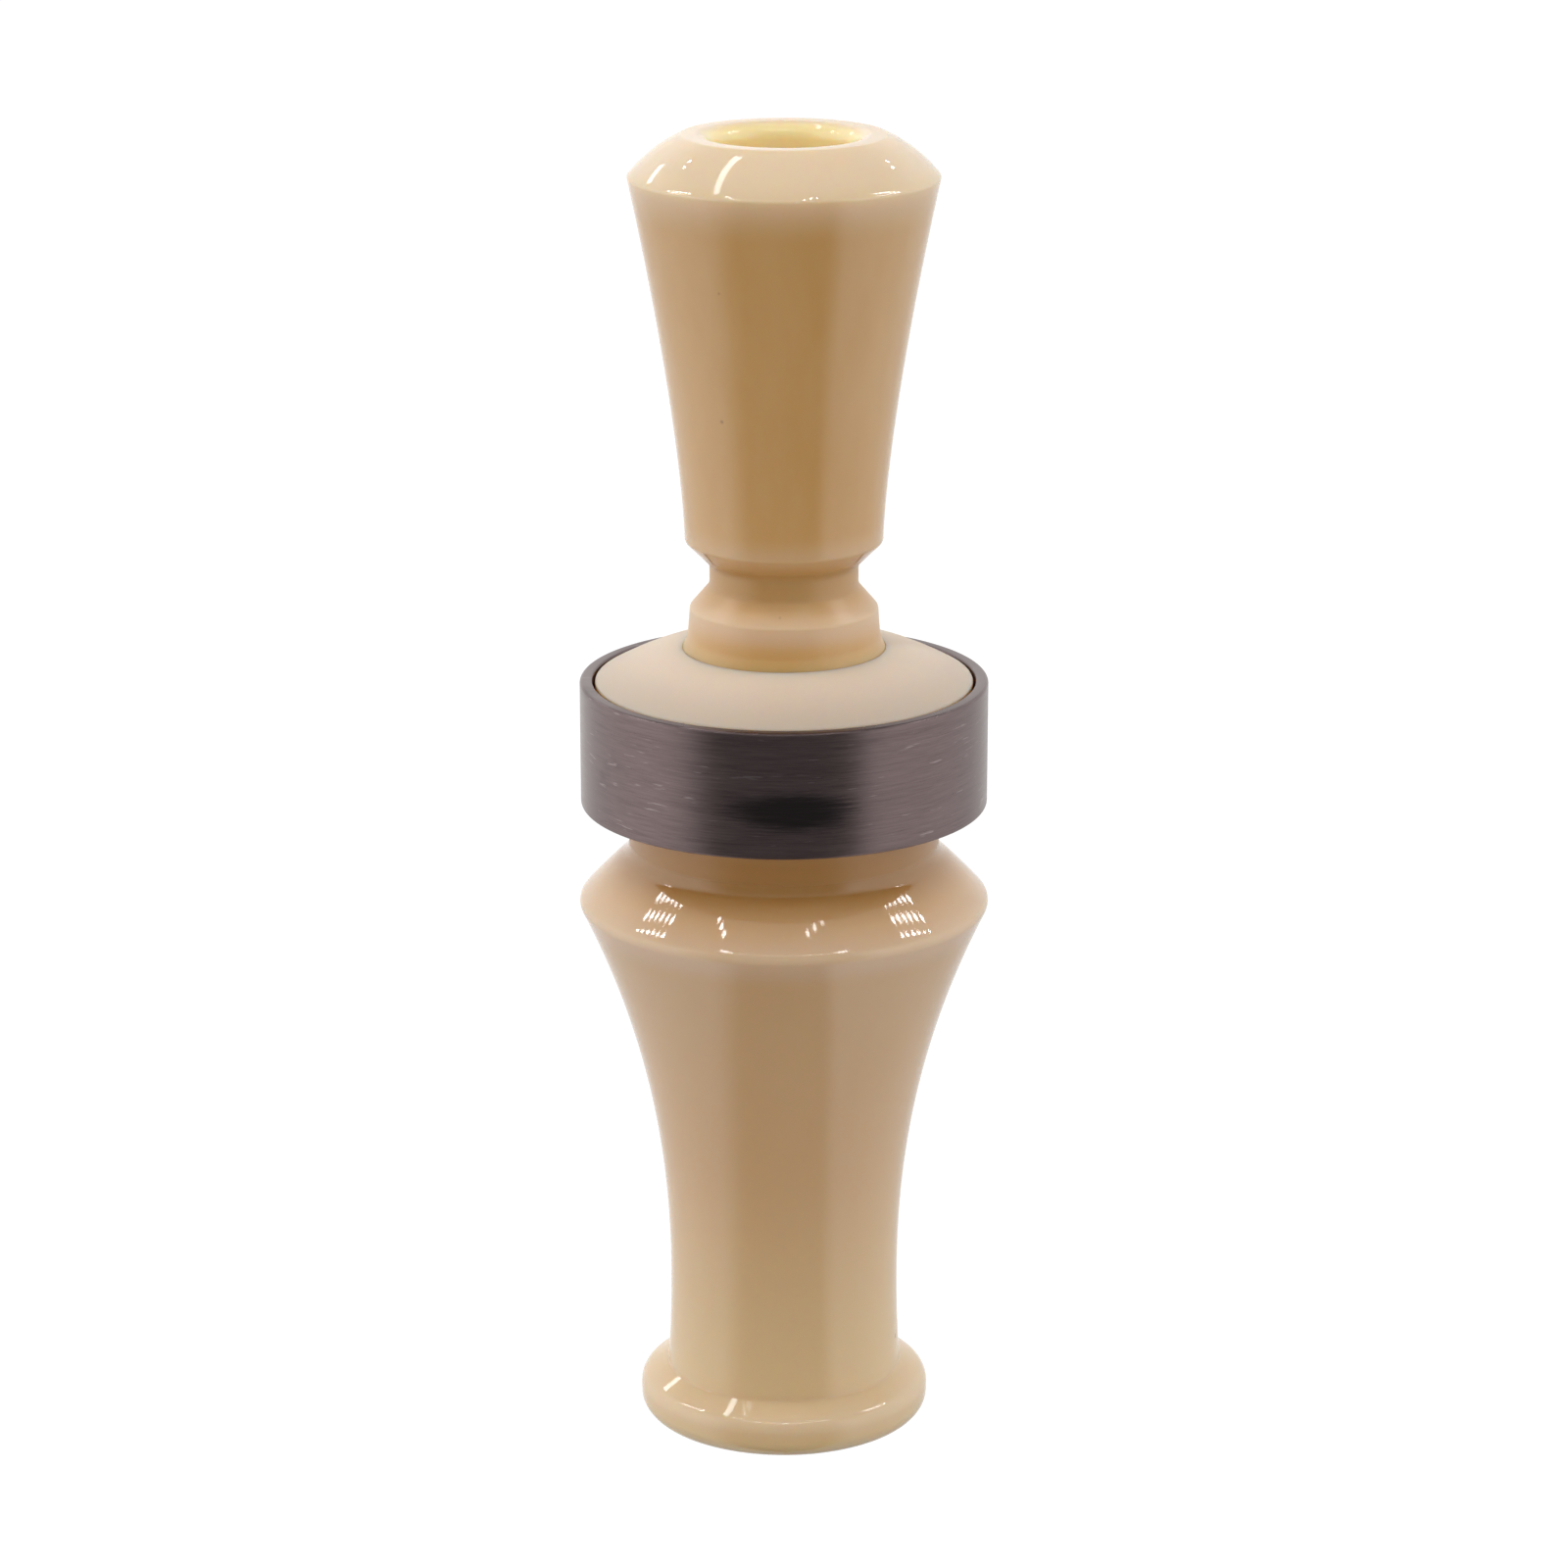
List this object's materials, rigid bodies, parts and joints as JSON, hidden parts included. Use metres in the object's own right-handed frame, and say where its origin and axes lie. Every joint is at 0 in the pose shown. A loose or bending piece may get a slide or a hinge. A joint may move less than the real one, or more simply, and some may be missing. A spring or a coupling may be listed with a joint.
{
  "type": "duck call",
  "caption": "Turned duck call: flared barrel with a metal band and a pull-out stopper that carries a reeded tone board.",
  "frame": {"origin": "centre of the mouthpiece end's face, which the call stands on", "axes": "+Z along the call's axis from mouthpiece to exhaust mouth; the reeds and the tone board's table face -Y; +X completes the frame"},
  "size_m": [0.0376, 0.0376, 0.1212],
  "materials": {
    "ivory_acrylic": "polished cast acrylic, ivory, slightly translucent",
    "band_metal": "fine circumferential brushing",
    "tone_board_plastic": "moulded polycarbonate, satin",
    "reed_film": "polyester film",
    "cork": "rubberised cork, dry",
    "seal_rubber": "nitrile rubber, satin"
  },
  "bodies": {
    "barrel": {"barrel": "ivory_acrylic", "band": "band_metal"},
    "seals": {"upper_o_ring": "seal_rubber", "lower_o_ring": "seal_rubber"},
    "stopper": {"stopper": "ivory_acrylic", "tone_board": "tone_board_plastic", "reed_wedge": "cork"},
    "long_reed": {"long_reed": "reed_film"},
    "short_reed": {"short_reed": "reed_film"}
  },
  "joints": [
    {"name": "stopper_slide", "type": "slide", "parent": "barrel", "child": "seals", "axis": [0, 0, 1], "range_m": [0, 0.064]},
    {"name": "stopper_turn", "type": "hinge", "parent": "seals", "child": "stopper", "pos_m": [0, 0, 0.0742], "axis": [0, 0, 1], "continuous": true},
    {"name": "long_reed_flex", "type": "hinge", "parent": "stopper", "child": "long_reed", "pos_m": [0, -0.00168, 0.06125], "axis": [1, 0, 0], "range_deg": [-0.4, 1], "stiffness_Nm_per_rad": 0.013},
    {"name": "short_reed_flex", "type": "hinge", "parent": "stopper", "child": "short_reed", "pos_m": [0, -0.00229, 0.06125], "axis": [1, 0, 0], "range_deg": [-0.4, 1], "stiffness_Nm_per_rad": 0.005}
  ],
  "couplings": [
    {"joint": "short_reed_flex", "follows": "long_reed_flex", "ratio": 1}
  ]
}
